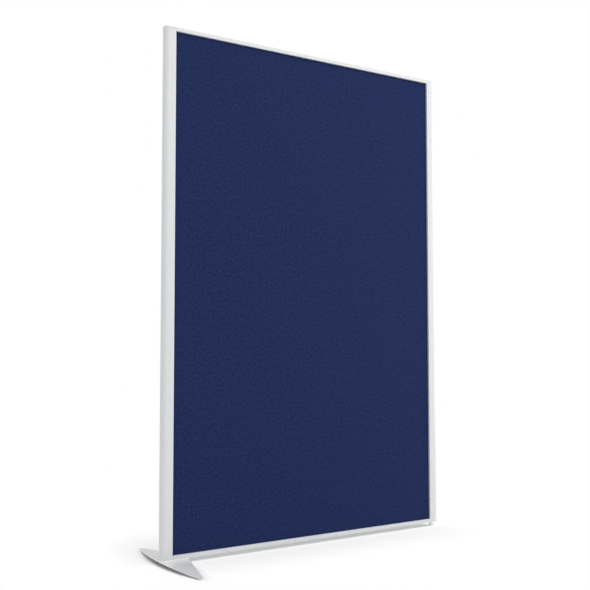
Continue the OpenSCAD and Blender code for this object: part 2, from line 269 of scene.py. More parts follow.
# Fine lines that the die draws along a bar, over a soft cloud from the anodising bath
clouds_per_metre, grit_per_metre = 14.0, 2600.0
lines_in_tone, lines_in_height = 0.5, 0.6
drawn_lines, start, end = new_group(
    "drawn_lines",
    [("Place", "NodeSocketVector"), ("Along", "NodeSocketVector")],
    ["Tone", "Height"],
)
lines = noise(drawn_lines, start.outputs["Along"], detail=3.0, rough=0.6)
cloud = noise(drawn_lines, start.outputs["Place"], scale=clouds_per_metre)
blast = noise(drawn_lines, start.outputs["Place"], scale=grit_per_metre, detail=1.0)
drawn_lines.links.new(mixed(drawn_lines, lines, lines_in_tone, cloud), end.inputs["Tone"])
drawn_lines.links.new(mixed(drawn_lines, lines, lines_in_height, blast), end.inputs["Height"])

satin_dark, satin_light = (0.64, 0.65, 0.66), (0.67, 0.68, 0.69)
satin_rough, satin_smooth = 0.37, 0.29
line_depth = 0.0015 * MM
lines_across, lines_along = 1400, 6


def satin_aluminium(name, stretch):
    """Satin anodised aluminium with its drawn lines along the bar. stretch gives the lines
    per metre on each axis."""
    material, tree, shader = new_finish(name, Metallic=0.2, Specular_IOR_Level=0.5)
    group = place_node(tree, "Group", node_tree=drawn_lines)
    tree.links.new(object_place(tree), group.inputs["Place"])
    tree.links.new(object_place(tree, stretch), group.inputs["Along"])
    join(
        tree, shader,
        Base_Color=blended(tree, group.outputs["Tone"], satin_dark, satin_light),
        Roughness=between(tree, group.outputs["Tone"], satin_rough, satin_smooth),
        Normal=relief(tree, group.outputs["Height"], line_depth),
    )
    return material


post_metal = satin_aluminium("post_aluminium", (lines_across, lines_across, lines_along))
post_outer = rounded_outline([
    (0, -half_depth, lip_ease),
    (post_width, -half_depth, half_depth),
    (post_width, half_depth, half_depth),
    (0, half_depth, lip_ease),
    (0, groove_half, inner_ease),
    (groove_depth, groove_half, inner_ease),
    (groove_depth, -groove_half, inner_ease),
    (0, -groove_half, inner_ease),
])
chamber_half = half_depth - post_wall
web = groove_depth + groove_wall
step_half = groove_half + groove_wall
post_chamber = rounded_outline([
    (post_wall, -chamber_half, inner_ease),
    (post_width - post_wall, -chamber_half, chamber_half),
    (post_width - post_wall, chamber_half, chamber_half),
    (post_wall, chamber_half, inner_ease),
    (post_wall, step_half, inner_ease),
    (web, step_half, inner_ease),
    (web, -step_half, inner_ease),
    (post_wall, -step_half, inner_ease),
])


def upright(inner_x, outwards):
    """Places a bar's points as a post whose inner edge is at inner_x."""
    return lambda p: np.stack([inner_x + outwards * p[:, 0], p[:, 1], p[:, 2]], axis=1)


post_sides = (("left", post_high.x, -1), ("right", right_low.x, 1))
for side, inner_x, outwards in post_sides:
    bar = [post_outer, post_chamber]
    points, faces = sawn_bar(bar, post_low.z, post_high.z, upright(inner_x, outwards))
    faces = outward(faces, mirrored=outwards < 0)
    name = side + "_post_extrusion"
    post = new_piece(name, points, faces, "screen", post_metal)
    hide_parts(side + "_post")


# Rails
# The top and bottom rails are low extrusions of the same finish, cut square and butted
# against the posts. Each has a groove for the panel and a flat chamber for the brackets.

rail_low, rail_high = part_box("bottom_rail")
top_low, top_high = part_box("top_rail")
rail_height = rail_high.z - rail_low.z
rail_wall = 1.8 * MM
rail_chamber = 3.2 * MM
rail_metal = satin_aluminium("rail_aluminium", (lines_along, lines_across, lines_across))
rail_outer = rounded_outline([
    (-half_depth, 0, lip_ease),
    (half_depth, 0, lip_ease),
    (half_depth, rail_height, lip_ease),
    (groove_half, rail_height, inner_ease),
    (groove_half, rail_height - groove_depth, inner_ease),
    (-groove_half, rail_height - groove_depth, inner_ease),
    (-groove_half, rail_height, inner_ease),
    (-half_depth, rail_height, lip_ease),
])
rail_web = rail_wall + rail_chamber
rail_top = rail_height - post_wall
rail_hollow = rounded_outline([
    (-chamber_half, rail_wall, inner_ease),
    (chamber_half, rail_wall, inner_ease),
    (chamber_half, rail_top, inner_ease),
    (step_half, rail_top, inner_ease),
    (step_half, rail_web, inner_ease),
    (-step_half, rail_web, inner_ease),
    (-step_half, rail_top, inner_ease),
    (-chamber_half, rail_top, inner_ease),
])


def level(edge_z, upwards):
    """Places a bar's points as a rail whose outer edge is at edge_z."""
    return lambda p: np.stack([p[:, 2], p[:, 0], edge_z + upwards * p[:, 1]], axis=1)


for side, edge_z, upwards in (("bottom", rail_low.z, 1), ("top", top_high.z, -1)):
    bar = [rail_outer, rail_hollow]
    points, faces = sawn_bar(bar, rail_low.x, rail_high.x, level(edge_z, upwards))
    faces = outward(faces, mirrored=upwards < 0)
    name = side + "_rail_extrusion"
    rail = new_piece(name, points, faces, "screen", rail_metal)
    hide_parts(side + "_rail")


# Corner brackets
# Four die-cast brackets join the corners: a block fills the post's chamber, with a vertical
# thread, and a tongue runs into the rail. Their skin is the rough one that the die leaves.

# Close grain of a cast, moulded or coated skin: lumps of many sizes with small pits
patches_per_lump = 0.04
lumps_in_tone, lumps_in_height = 0.4, 0.7
skin_grain, start, end = new_group(
    "skin_grain",
    [("Place", "NodeSocketVector"), ("Per metre", "NodeSocketFloat")],
    ["Tone", "Height"],
)
place, per_metre = start.outputs["Place"], start.outputs["Per metre"]
lumps = noise(skin_grain, place, scale=per_metre, detail=3.0, rough=0.6)
pits = place_node(skin_grain, "TexVoronoi", {"Vector": place, "Scale": per_metre}).outputs[0]
patch_scale = sum_of(skin_grain, "MULTIPLY", per_metre, patches_per_lump)
patches = noise(skin_grain, place, scale=patch_scale)
skin_grain.links.new(mixed(skin_grain, lumps, lumps_in_tone, patches), end.inputs["Tone"])
skin_grain.links.new(mixed(skin_grain, lumps, lumps_in_height, pits), end.inputs["Height"])


def grained(name, per_metre, depth, dark, light, smooth, rough, **sockets):
    """Material with a grained skin: its colour runs from dark to light, its roughness from
    rough to smooth, and its relief has the given depth."""
    material, tree, shader = new_finish(name, **sockets)
    group = place_node(tree, "Group", {"Per metre": per_metre}, node_tree=skin_grain)
    tree.links.new(object_place(tree), group.inputs["Place"])
    join(
        tree, shader,
        Base_Color=blended(tree, group.outputs["Tone"], dark, light),
        Roughness=between(tree, group.outputs["Tone"], rough, smooth),
        Normal=relief(tree, group.outputs["Height"], depth),
    )
    return material


def dress(material, *names):
    """Gives CAD pieces whose shape is right their finish."""
    for name in names:
        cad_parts[name].material_slots[0].material = material


casting = grained(
    "bracket_casting", per_metre=700, depth=0.12 * MM,
    dark=(0.42, 0.43, 0.45), light=(0.58, 0.59, 0.61), smooth=0.4, rough=0.6, Metallic=1.0,
)
dress(casting, "top_left_bracket", "top_right_bracket")
dress(casting, "bottom_left_bracket", "bottom_right_bracket")


# Corner screws
# Eight countersunk screws go through the groove's floor into the blocks and eight into the
# tongues. They are turned steel with a bright zinc plating.

plating = grained(
    "zinc_plating", per_metre=1800, depth=0.01 * MM,
    dark=(0.55, 0.57, 0.6), light=(0.68, 0.69, 0.7), smooth=0.22, rough=0.38, Metallic=1.0,
)
dress(plating, "post_screws", "rail_screws")


# Core board and felt
# The panel's core is a dense fibre board that blocks the sound. A layer of needled felt lies
# on each face of it and soaks up what hits the cover.

bundles_per_metre, flecks_per_metre = (220, 900, 60), (900, 900, 300)
bundles_in_tone = 0.6
board_dark, board_light = (0.30, 0.20, 0.11), (0.62, 0.48, 0.32)
board_depth = 0.15 * MM
across_per_metre, up_per_metre = (1500, 500, 260), (260, 500, 1500)
felt_dark, felt_light = (0.04, 0.042, 0.045), (0.26, 0.27, 0.28)
felt_depth = 0.5 * MM


def fibre_board(name):
    """Pressed wood fibres: short flecks laid flat in the board, darker between the bundles.
    Both are noise, with their own number of lumps per metre on each axis."""
    material, tree, shader = new_finish(name, Roughness=0.85, Specular_IOR_Level=0.2)
    bundles = noise(tree, object_place(tree, bundles_per_metre), detail=4.0, rough=0.65)
    flecks = noise(tree, object_place(tree, flecks_per_metre))
    tone = mixed(tree, bundles, bundles_in_tone, flecks)
    join(
        tree, shader,
        Base_Color=blended(tree, tone, board_dark, board_light),
        Normal=relief(tree, tone, board_depth),
    )
    return material


def needled_felt(name):
    """Tangled grey fibres: noise drawn long across and noise drawn long upwards, the higher of
    the two at each point."""
    material, tree, shader = new_finish(
        name, Roughness=0.95, Specular_IOR_Level=0.1, Sheen_Weight=0.3
    )
    across = noise(tree, object_place(tree, across_per_metre), detail=3.0, rough=0.7)
    up = noise(tree, object_place(tree, up_per_metre), detail=3.0, rough=0.7)
    tangle = sum_of(tree, "MAXIMUM", across, up)
    join(
        tree, shader,
        Base_Color=blended(tree, tangle, felt_dark, felt_light),
        Normal=relief(tree, tangle, felt_depth),
    )
    return material


dress(fibre_board("fibre_board"), "core_board")
dress(needled_felt("needled_felt"), "front_felt", "rear_felt")


# Fabric covers
# A navy blue woven acoustic cloth is stretched over each felt and held by the groove all
# round. The felt swells a little where the groove's lips let go of it, so the cloth stands
# slightly proud of its edge.

swell = 0.9 * MM
swell_reach = 16 * MM
cloth_share = 0.9
edge_band, edge_rows, middle_rows = 0.03, 16, 9
cell_across = 2.72 * MM
cell_up = 3.07 * MM
weave_depth = 0.35 * MM
round_in_height, slubs_in_tone, fibre_in_relief = 0.45, 0.7, 0.2
# Upright yarns are painted lighter than level ones: a painted sheen for how the light falls along
# them
level_dark, level_light = (0.004, 0.0085, 0.033), (0.0205, 0.034, 0.122)
upright_dark, upright_light = (0.008, 0.015, 0.056), (0.029, 0.049, 0.168)
# The yarn's colour is scaled by its height: painted shade in the dips, a painted highlight on the
# crowns
painted_dip_shade, painted_crown_highlight = 0.3, 1.2
fibres_across, fibres_along = 9.0, 1.2
slub_scale, slub_low, slub_high = 0.35, 0.28, 0.72


def woven_cloth(name):
    """Hopsack weave from the cloth's own flat measure: squares in which two upright yarns lie
    on top take turns with squares in which two level ones do. A yarn is round across itself,
    by the sine of its share of the square, and dips where it goes under at the square's ends."""
    material, tree, shader = new_finish(
        name, Roughness=0.92, Specular_IOR_Level=0.06, Sheen_Weight=0.03, Sheen_Roughness=0.5
    )
    flat = place_node(tree, "UVMap", uv_map="cloth").outputs[0]
    per_metre = (1 / cell_across, 1 / cell_up, 1)
    cells = place_node(tree, "VectorMath", {0: flat, 1: per_metre}, operation="MULTIPLY").outputs[0]
    both = place_node(tree, "SeparateXYZ", {0: cells})
    u, v = both.outputs[0], both.outputs[1]
    count = sum_of(tree, "ADD", sum_of(tree, "FLOOR", u), sum_of(tree, "FLOOR", v))
    upright_on_top = sum_of(tree, "FLOORED_MODULO", count, 2.0)

    def arches(along, number):
        """Number of round arches over a square: the sine of half a turn each, without sign."""
        turn = sum_of(tree, "MULTIPLY", along, number * math.pi)
        return sum_of(tree, "ABSOLUTE", sum_of(tree, "SINE", turn))

    heights, fibres = [], []
    upright_fibres = (fibres_across, fibres_along, 1.0)
    level_fibres = (fibres_along, fibres_across, 1.0)
    for across, along, stretch in ((u, v, upright_fibres), (v, u, level_fibres)):
        heights.append(mixed(tree, arches(across, 2), round_in_height, arches(along, 1)))
        drawn = place_node(tree, "Mapping", {"Vector": cells, "Scale": stretch}).outputs[0]
        fibres.append(noise(tree, drawn, rough=0.6))
    top, fibre = [
        place_node(tree, "Mix", {0: upright_on_top, 2: of_level, 3: of_upright}).outputs[0]
        for of_upright, of_level in (heights, fibres)
    ]
    slubs = noise(tree, cells, scale=slub_scale, rough=0.8)
    slubby = between(tree, slubs, 0.0, 1.0, slub_low, slub_high)
    mottled = mixed(tree, slubby, slubs_in_tone, fibre)
    # Each yarn takes its colour; the upright ones are painted lighter, a painted sheen
    level_yarn = blended(tree, mottled, level_dark, level_light)
    upright_yarn = blended(tree, mottled, upright_dark, upright_light)
    yarn = blended(tree, upright_on_top, level_yarn, upright_yarn)
    # Colour scaled by the weave's height: painted shade where a yarn dips under, a painted
    # highlight on its crown
    join(
        tree, shader,
        Base_Color=scaled(tree, yarn, between(tree, top, painted_dip_shade, painted_crown_highlight)),
        Normal=relief(tree, mixed(tree, fibre, fibre_in_relief, top), weave_depth),
    )
    return material


def stretched_cover(name, node, outwards, material):
    """Sheet of cloth over the panel: a grid, closer at the edges, that swells outwards with
    the distance t to the nearest lip, as a share of its reach, by t times 2 less t."""
    low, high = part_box(node)
    near = np.concatenate([
        np.linspace(0, edge_band, edge_rows), np.linspace(edge_band, 0.5, middle_rows)[1:]
    ])
    share = np.concatenate([near, 1 - near[-2::-1]])
    x = low.x + (high.x - low.x) * share
    z = low.z + (high.z - low.z) * share
    x, z = np.meshgrid(x, z, indexing="ij")
    beside = np.minimum(x - post_high.x, right_low.x - x)
    to_lip = np.minimum(beside, np.minimum(z - rail_high.z, top_low.z - z))
    t = np.clip(to_lip / swell_reach, 0, 1)
    y = (low.y + high.y) / 2 + outwards * (swell * t * (2 - t))
    points = np.stack([x, y, z], axis=-1).reshape(-1, 3)
    rows, columns = x.shape
    i, j = np.meshgrid(np.arange(rows - 1), np.arange(columns - 1), indexing="ij")
    here = i * columns + j
    above = here + columns
    faces = np.stack([here, above, above + 1, here + 1], axis=-1).reshape(-1, 4)
    faces = outward(faces, mirrored=outwards > 0)
    cover = new_piece(name, points, faces, "screen", material)
    cover.modifiers.clear()
    flat = cover.data.uv_layers.new(name="cloth")
    corners = np.zeros(len(cover.data.loops), int)
    cover.data.loops.foreach_get("vertex_index", corners)
    flat.data.foreach_set("uv", (points[corners][:, [0, 2]] * (-outwards, 1)).ravel())
    cloth = cover.modifiers.new("thickness", "SOLIDIFY")
    cloth.thickness = (high.y - low.y) * cloth_share
    cloth.offset = 0
    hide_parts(node)


cover_cloth = woven_cloth("navy_weave")
stretched_cover("front_cover_cloth", "front_fabric", -1, cover_cloth)
stretched_cover("rear_cover_cloth", "rear_fabric", 1, cover_cloth)


# Edge seals
# Strips of black foam rubber lie on the floor of each groove. They hold the panel's edges
# and keep it from rattling.

foam = grained(
    "foam_rubber", per_metre=1100, depth=0.3 * MM,
    dark=(0.008, 0.008, 0.009), light=(0.03, 0.03, 0.032), smooth=0.8, rough=0.95,
)
dress(foam, "left_seal", "right_seal", "top_seal", "bottom_seal")


# Post caps
# A moulded plastic cap closes the top of each post. It has the post's outline with a soft
# upper edge, and its round pin presses into the bracket's thread.

cap_low, cap_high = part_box("left_post_cap")
cap_ease = 0.9 * MM
cap_seat_ease = 0.2 * MM
cap_steps = 7
pin_reach = 18.0 * MM
pin_radius = 3.95 * MM
pin_lead = 0.5 * MM
pin_around = 48
cap_plastic = grained(
    "cap_plastic", per_metre=2400, depth=0.02 * MM,
    dark=(0.58, 0.59, 0.6), light=(0.66, 0.67, 0.68), smooth=0.4, rough=0.52,
    Specular_IOR_Level=0.5,
)


def tube_faces(rings, around):
    """Sides of a tube of rings and a flat face at both its ends."""
    ring = np.arange(around)
    return [*ring_faces(rings, around), ring[::-1], (rings - 1) * around + ring]


def stacked(outline, inset, height):
    """Closed stack of rings of one outline, one at each height, drawn in by that inset."""
    return drawn_in(outline, inset, height), tube_faces(len(height), len(outline))


def together(*parts):
    """Points and faces of several closed forms as one."""
    points, faces, first = [], [], 0
    for part_points, part_faces in parts:
        points.append(part_points)
        faces.extend(face + first for face in part_faces)
        first += len(part_points)
    return np.concatenate(points), faces


cap_outline = rounded_outline([
    (0, -half_depth, lip_ease),
    (post_width, -half_depth, half_depth),
    (post_width, half_depth, half_depth),
    (0, half_depth, lip_ease),
])
turn = np.linspace(0, math.pi / 2, cap_steps)
cap_inset = np.concatenate([[cap_seat_ease, 0], cap_ease * (1 - np.cos(turn))])
cap_height = np.concatenate([
    [post_high.z, post_high.z + cap_seat_ease], cap_high.z - cap_ease * (1 - np.sin(turn))
])
angle = np.linspace(0, 2 * math.pi, pin_around, endpoint=False)
pin_outline = np.stack([pin_reach + pin_radius * np.cos(angle), pin_radius * np.sin(angle)], axis=1)
pin_inset = np.array([pin_lead, 0, 0])
pin_height = np.array([cap_low.z, cap_low.z + pin_lead, (post_high.z + cap_high.z) / 2])
cap_form = stacked(cap_outline, cap_inset, cap_height)
pin_form = stacked(pin_outline, pin_inset, pin_height)
for side, inner_x, outwards in post_sides:
    points, faces = together(cap_form, pin_form)
    points = upright(inner_x, outwards)(points)
    faces = outward(faces, mirrored=outwards < 0)
    cap = new_piece(side + "_cap_moulding", points, faces, "screen", cap_plastic)
    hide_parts(side + "_post_cap")


# Foot plate
# The foot is a boat-shaped steel plate, cut from sheet, arched so that it stands on its two
# tips, and powder coated in silver. Its edge is bevelled back underneath, and a low seat
# pressed up in the middle follows the round side of the post and the rail.

foot_low, foot_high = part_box("foot_plate")
foot_half = 235 * MM
foot_out = 5.5 * MM
foot_in = foot_high.x - foot_low.x - foot_out
foot_bow = 800 * MM
tip_radius = 10 * MM
tip_lean = math.radians(7)
tip_pull = 76 * MM
waist_pull = 32 * MM
foot_thick = 5 * MM
foot_clear = 9.5 * MM
tip_clear = 0.5 * MM
top_ease = 0.8 * MM
undercut = 4.2 * MM
seat_rim = 1.5 * MM
seat_blend = 0.9 * MM
seat_corner = 1.0 * MM
seat_sink, seat_root = 0.25 * MM, 1.0 * MM
edge_steps, tip_steps = 49, 25
bevel_steps, ease_steps = 5, 7
inside_rows, seat_rows = 5, 8

tip_y = foot_half - tip_radius
bow_x = foot_bow - foot_out
tip_x = bow_x - math.sqrt((foot_bow - tip_radius) ** 2 - tip_y**2)
tip_turn = math.atan2(tip_y, tip_x - bow_x)
arch_drop = foot_clear - tip_clear
arch_radius = (foot_half**2 + arch_drop**2) / (2 * arch_drop)


def under_side(y):
    """Height of the arched underside: a circle's arc over the plate's length."""
    return foot_clear - arch_radius + np.sqrt(arch_radius**2 - y**2)


def on_tip(turn):
    """Point of the round tip's edge at an angle."""
    return np.stack([tip_x + tip_radius * np.cos(turn), tip_y + tip_radius * np.sin(turn)], -1)


# Half the outline, from the waist by the tip to the bow: the inner edge is a cubic curve
# between two points, pulled by two more, and the bow is a circle's arc
t = np.linspace(0, 1, edge_steps)[:, None]
leave = on_tip(tip_lean)
bend = leave + tip_pull * np.array([math.sin(tip_lean), -math.cos(tip_lean)])
waist = np.array([foot_in, waist_pull])
rest = np.array([foot_in, 0])
inner_edge = (1 - t) ** 3 * leave + 3 * t * (1 - t) ** 2 * bend
inner_edge = inner_edge + 3 * t * t * (1 - t) * waist + t**3 * rest
tip_edge = on_tip(np.linspace(tip_lean, tip_turn, tip_steps))
bow_y = np.linspace(foot_bow * math.sin(math.pi - tip_turn), 0, edge_steps)
bow_edge = np.stack([bow_x - np.sqrt(foot_bow**2 - bow_y**2), bow_y], axis=1)
half_edge = np.concatenate([inner_edge[::-1], tip_edge[1:], bow_edge[1:]])
foot_outline = np.concatenate([half_edge, (half_edge * (1, -1))[-2:0:-1]])

turn = np.linspace(0, math.pi / 2, ease_steps)[1:]
slope = np.linspace(0, 1, bevel_steps)
rim_inset = np.concatenate([undercut * (1 - slope), top_ease * (1 - np.cos(turn))])
rim_height = np.concatenate([
    (foot_thick - top_ease) * slope, foot_thick - top_ease * (1 - np.sin(turn))
])
rim = foot_outline[None] - rim_inset[:, None, None] * outline_normals(foot_outline)[None]


def filled(loop, rows):
    """Rings from a loop to the plate's middle line, which runs between the centres of the
    two round tips, halfway from edge to edge."""
    y = np.clip(loop[:, 1], -tip_y, tip_y)
    inner = np.interp(np.abs(y), inner_edge[::-1, 1], inner_edge[::-1, 0])
    outer = bow_x - np.sqrt(foot_bow**2 - y**2)
    middle = np.stack([(inner + outer) / 2, y], axis=1)
    share = np.linspace(0, 1, rows + 1)[1:, None, None]
    return loop[None] * (1 - share) + middle[None] * share


above = filled(rim[-1], inside_rows)
below = filled(rim[0], inside_rows)[::-1]
flat_rings = np.concatenate([below, rim, above])
height = np.concatenate([np.zeros(inside_rows), rim_height, np.full(inside_rows, foot_thick)])
z = under_side(flat_rings[..., 1]) + height[:, None]
plate_points = np.concatenate([flat_rings, z[..., None]], axis=2).reshape(-1, 3)
plate_form = plate_points, ring_faces(len(flat_rings), len(foot_outline))

# The seat rises from the plate in a smooth step: its height goes with three times the square
# of its share less twice the cube
seat_half = half_depth + seat_rim
seat_outline = rounded_outline([
    (half_depth - seat_half, -seat_half, seat_half),
    (foot_in - seat_blend, -seat_half, seat_corner),
    (foot_in - seat_blend, seat_half, seat_corner),
    (half_depth - seat_half, seat_half, seat_half),
])
seat_low = foot_clear + foot_thick - seat_sink
rise = np.linspace(0, 1, seat_rows)
seat_inset = np.concatenate([[-seat_blend], seat_blend * (2 * rise - 1)])
seat_height = np.concatenate([
    [seat_low - seat_root], seat_low + (rail_low.z - seat_low) * rise * rise * (3 - 2 * rise)
])
points, faces = together(plate_form, stacked(seat_outline, seat_inset, seat_height))
points = points + (foot_low.x + foot_out, 0, 0)

foot_coat = grained(
    "silver_coat", per_metre=900, depth=0.012 * MM,
    dark=(0.69, 0.695, 0.70), light=(0.75, 0.755, 0.76), smooth=0.2, rough=0.28,
    Specular_IOR_Level=0.75,
)
foot = new_piece("foot_plate_arched", points, faces, "screen", foot_coat)
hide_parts("foot_plate")


# Foot pads
# A round pad of black rubber is let into the underside near each tip. The plate stands on
# the two, which keep it from sliding.

pad_rubber = grained(
    "pad_rubber", per_metre=1500, depth=0.05 * MM,
    dark=(0.012, 0.012, 0.012), light=(0.03, 0.03, 0.03), smooth=0.7, rough=0.9,
)
dress(pad_rubber, "front_foot_pad", "rear_foot_pad")


# Foot fixings
# The main bolt goes up through the foot into the corner bracket's thread, and a smaller one
# beside it keeps the foot from turning. Both have a washer and a socket head.

dress(plating, "foot_bolt", "foot_bolt_washer", "tongue_bolt", "tongue_bolt_washer")


# Levelling glide
# The far end stands on a moulded glide. Its steel stem has a hexagon to turn it by and a
# rolled thread that runs in the corner bracket, so the end can be raised and lowered.

glide_low, glide_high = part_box("glide_pad")
glide_x = (glide_low.x + glide_high.x) / 2
glide_radius = (glide_high.x - glide_low.x) / 2
glide_ease = 0.8 * MM
rim_top = 2.8 * MM
shoulder_in, shoulder_top = 1.0 * MM, 4.4 * MM
neck_radius, neck_drop = 7.6 * MM, 0.3 * MM
mouth_radius = 6.6 * MM
socket_radius, socket_floor = 5.08 * MM, 2.5 * MM
disc_ease, stem_ease = 0.35 * MM, 0.4 * MM
arc_steps, glide_around = 5, 72
glide_plastic = grained(
    "glide_plastic", per_metre=2200, depth=0.02 * MM,
    dark=(0.86, 0.86, 0.85), light=(0.91, 0.91, 0.90), smooth=0.4, rough=0.55,
)


def turned(profile, around):
    """Surface of a profile (radius, height) turned round the vertical axis, its first and last
    points on the axis."""
    angle = np.linspace(0, 2 * math.pi, around, endpoint=False)
    radius, height = profile[1:-1, :1], np.repeat(profile[1:-1, 1:], around, axis=1)
    rings = np.stack([radius * np.cos(angle), radius * np.sin(angle), height], axis=-1)
    poles = [[0, 0, profile[0, 1]], [0, 0, profile[-1, 1]]]
    points = np.concatenate([rings.reshape(-1, 3), poles])
    pole = len(points) - 2
    point = np.arange(around)
    beside = (point + 1) % around
    last = pole - around
    bottom = np.stack([np.full(around, pole), beside, point], axis=1)
    top = np.stack([np.full(around, pole + 1), last + point, last + beside], axis=1)
    fans = np.stack([bottom, top], axis=1).reshape(-1, 3)
    return points, [*ring_faces(len(radius), around), *fans]


def eased(corners, radius):
    """Profile (radius, height) whose corners between the first and last are eased: each is a
    quadratic curve between two points on its sides, pulled by the corner."""
    corners = np.array(corners)
    t = np.linspace(0, 1, arc_steps)[:, None]
    stretches = [corners[:1]]
    for back, here, ahead in zip(corners, corners[1:], corners[2:]):
        a = here + (back - here) / np.linalg.norm(back - here) * radius
        b = here + (ahead - here) / np.linalg.norm(ahead - here) * radius
        stretches.append((1 - t) ** 2 * a + 2 * t * (1 - t) * here + t * t * b)
    return np.concatenate([*stretches, corners[-1:]])


points, faces = turned(eased([
    (0, 0),
    (glide_radius - glide_ease, 0),
    (glide_radius, glide_ease),
    (glide_radius, rim_top),
    (glide_radius - shoulder_in, shoulder_top),
    (neck_radius, glide_high.z - neck_drop),
    (mouth_radius, glide_high.z),
    (socket_radius, glide_high.z),
    (socket_radius, socket_floor),
    (0, socket_floor),
], disc_ease), glide_around)
points = points + (glide_x, 0, 0)
pad = new_piece("glide_disc", points, faces, "glide_pad", glide_plastic)
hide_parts("glide_pad")

stem_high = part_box("glide_stem")[1]
stem_radius = 4.95 * MM
stem_play = 0.05 * MM
hex_across = 13 * MM
hex_round = 1.005
hex_gap, hex_thick = 0.3 * MM, 4 * MM
hex_low = glide_high.z + hex_gap
hex_top = hex_low + hex_thick
hex_chamfer = 0.7 * MM
hex_around = 96
overlap = 0.5 * MM
crest, root = 3.95 * MM, 3.3 * MM
thread_pitch = 1.25 * MM
rows_per_turn, thread_around = 14, 40
thread_out, thread_in = 1.2 * MM, 1.0 * MM
flank_slope, root_flat = 1.3, 0.15
bright_zinc = grained(
    "bright_zinc", per_metre=1800, depth=0.01 * MM,
    dark=(0.86, 0.87, 0.88), light=(0.91, 0.92, 0.92), smooth=0.22, rough=0.32, Metallic=1.0,
)

stem_form = turned(eased([
    (0, socket_floor + stem_play),
    (stem_radius, socket_floor + stem_play),
    (stem_radius, hex_low + overlap),
    (0, hex_low + overlap),
], stem_ease), glide_around)

# The hexagon's flats lie at half its width by the cosine of the angle from the nearest one,
# and both its ends are turned round
angle = np.linspace(0, 2 * math.pi, hex_around, endpoint=False)
sector = (angle + math.pi / 6) % (math.pi / 3) - math.pi / 6
flats = hex_across / 2 / np.cos(sector)
ends = np.minimum(flats, hex_across / 2 * hex_round)
reach = np.stack([ends, flats, flats, ends])
z = np.array([hex_low, hex_low + hex_chamfer, hex_top - hex_chamfer, hex_top])
z = np.repeat(z[:, None], hex_around, axis=1)
hex_points = np.stack([reach * np.cos(angle), reach * np.sin(angle), z], axis=-1).reshape(-1, 3)
hex_form = hex_points, tube_faces(len(reach), hex_around)

# The thread's depth is a wave of height by pitch less the share of the turn, cut off flat at
# crest and root, and it runs out at both ends
rows = int((stem_high.z - hex_top) / thread_pitch * rows_per_turn)
z, angle = np.meshgrid(
    np.linspace(hex_top - overlap, stem_high.z, rows),
    np.linspace(0, 2 * math.pi, thread_around, endpoint=False),
    indexing="ij",
)
wave = np.abs(((z / thread_pitch - angle / (2 * math.pi)) % 1) * 2 - 1)
fade = np.clip((stem_high.z - z) / thread_out, 0, 1) * np.clip((z - hex_top) / thread_in, 0, 1)
reach = root + (crest - root) * np.clip(wave * flank_slope - root_flat, 0, 1) * fade
thread_points = np.stack([reach * np.cos(angle), reach * np.sin(angle), z], axis=-1).reshape(-1, 3)
thread_form = thread_points, tube_faces(rows, thread_around)
points, faces = together(stem_form, hex_form, thread_form)
points = points + (glide_x, 0, 0)
stem = new_piece("glide_screw", points, faces, "glide_stem", bright_zinc)
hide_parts("glide_stem")


# Studio
# A round white floor under soft lamps: a key at the right, one overhead, a wide fill at the
# left, a reflector low at the right and a lamp behind. The camera stands where the
# photograph's did, found from the frame's own lines.

focal_pixels, frame_pixels = 878.04, 590
pitch, heading = 3.047, -32.761
camera = new_object("camera", bpy.data.cameras.new("camera"))
camera.data.sensor_width = 36
camera.data.lens = focal_pixels / frame_pixels * camera.data.sensor_width
camera.location = (-1.80325, -2.6984, 0.7329)
camera.rotation_euler = (math.radians(90 + pitch), 0, math.radians(heading))
camera.data.clip_end = 100
bpy.context.scene.camera = camera

floor_radius, floor_rings, floor_around = 7.0, 40, 96
ring = np.linspace(0, floor_radius, floor_rings)[1:]
angle = np.linspace(0, 2 * math.pi, floor_around, endpoint=False)
r, a = np.meshgrid(ring, angle, indexing="ij")
floor_points = np.stack([r * np.cos(a), r * np.sin(a), 0 * r], axis=-1).reshape(-1, 3)
floor_faces = [*ring_faces(len(ring), floor_around), np.arange(floor_around)]
floor_mesh = new_mesh("floor", floor_points, floor_faces)
floor = new_object("floor", floor_mesh)

floor_finish = bpy.data.materials.new("studio_floor")
floor_finish.use_nodes = True
tree = floor_finish.node_tree
tree.nodes.clear()
place = place_node(tree, "SeparateXYZ", {0: object_place(tree)})
along, across = place.outputs[0], place.outputs[1]

# Under the foot plate only what the plate throws back lights the floor, so a shadow is painted
# into the floor's paint there, darkest in the middle: from the plate's bow, taken as a parabola,
# to its inner edge, which is nearly straight on both sides
painted_shadow_tone = 0.58
under_edge = 3 * MM
inner_slope = 0.25
squared = sum_of(tree, "MULTIPLY", across, across)
bow_line = sum_of(tree, "MULTIPLY_ADD", squared, 1 / (2 * foot_bow), foot_low.x)
from_middle = sum_of(tree, "ABSOLUTE", across)
inner_line = sum_of(tree, "MULTIPLY_ADD", from_middle, -inner_slope, foot_high.x)
from_bow = sum_of(tree, "SUBTRACT", along, bow_line)
from_inner = sum_of(tree, "SUBTRACT", inner_line, along)
under_plate = sum_of(tree, "MINIMUM", from_bow, from_inner)
tone = sum_of(tree, "MULTIPLY_ADD", squared, (1 - painted_shadow_tone) / foot_half**2, painted_shadow_tone)
painted_foot_shadow = between(tree, under_plate, 1.0, tone, end=under_edge)
paint_dark, paint_light = (0.91, 0.91, 0.91), (0.93, 0.93, 0.93)
grain = noise(tree, object_place(tree), scale=6.0, detail=3.0)
white_paint = blended(tree, grain, paint_dark, paint_light)
# The floor's white paint is scaled by the painted shadow under the foot plate
paint = place_node(tree, "BsdfDiffuse", {"Color": scaled(tree, white_paint, painted_foot_shadow)}).outputs[0]


